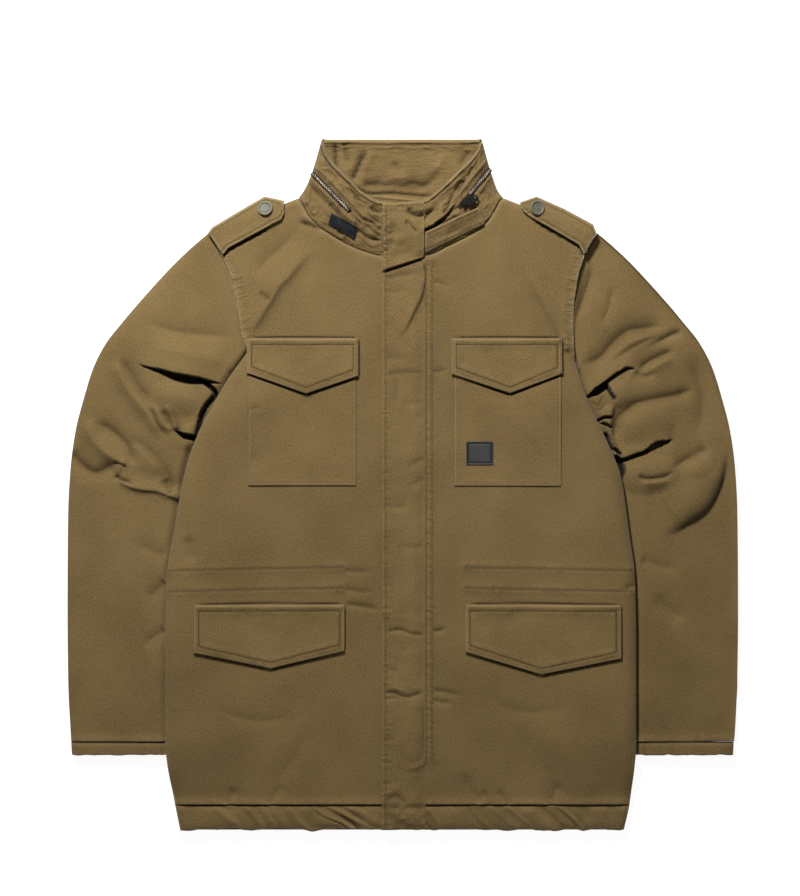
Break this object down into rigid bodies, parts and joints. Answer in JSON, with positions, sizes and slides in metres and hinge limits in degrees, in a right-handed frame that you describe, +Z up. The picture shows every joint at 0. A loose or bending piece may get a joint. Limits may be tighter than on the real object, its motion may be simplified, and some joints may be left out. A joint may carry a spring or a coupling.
{
  "type": "field jacket",
  "caption": "Padded field jacket laid flat on its back, with stand collar, storm fly, epaulettes, flapped chest and hip pockets and bell-shaped sleeves.",
  "frame": {"origin": "middle of the bounding box's underside, on the surface the jacket lies on", "axes": "+Y from hem to collar, +Z up out of the front, +X towards the wearer's left sleeve"},
  "size_m": [0.838, 0.864, 0.0362],
  "materials": {
    "shell_cloth": "olive cotton canvas over padding, matte",
    "hook_and_loop": "charcoal hook-and-loop pile",
    "dark_leather": "bare dark leather-like patch",
    "zip_teeth": "dull antique metal teeth on olive tape",
    "black_metal": "black enamel",
    "buttons": "grey-green, slightly worn"
  },
  "bodies": {
    "jacket": {"back_panel": "shell_cloth", "front_right": "shell_cloth", "front_left": "shell_cloth", "hem_back": "shell_cloth", "hem_right": "shell_cloth", "hem_left": "shell_cloth", "sleeve_right": "shell_cloth", "sleeve_left": "shell_cloth", "cuff_right": "shell_cloth", "cuff_left": "shell_cloth", "collar": "shell_cloth", "storm_fly": "shell_cloth", "collar_fly": "shell_cloth", "collar_tab": "shell_cloth", "zip_guard": "shell_cloth", "epaulette_right": "shell_cloth", "epaulette_left": "shell_cloth", "chest_pocket_right": "shell_cloth", "chest_pocket_left": "shell_cloth", "chest_flap_right": "shell_cloth", "chest_flap_left": "shell_cloth", "lower_flap_right": "shell_cloth", "lower_flap_left": "shell_cloth", "hook_patch": "hook_and_loop", "chest_patch": "dark_leather", "zip_right": "zip_teeth", "zip_left": "zip_teeth", "zip_slider": "black_metal", "button_right": "buttons", "button_left": "buttons"},
    "pull_tab": {"pull_tab": "black_metal"}
  },
  "joints": [
    {"name": "pull_tab_hinge", "type": "hinge", "parent": "jacket", "child": "pull_tab", "pos_m": [0.07542, 0.34884, 0.03246], "axis": [0.454, -0.891, 0], "range_deg": [0, 170]}
  ]
}
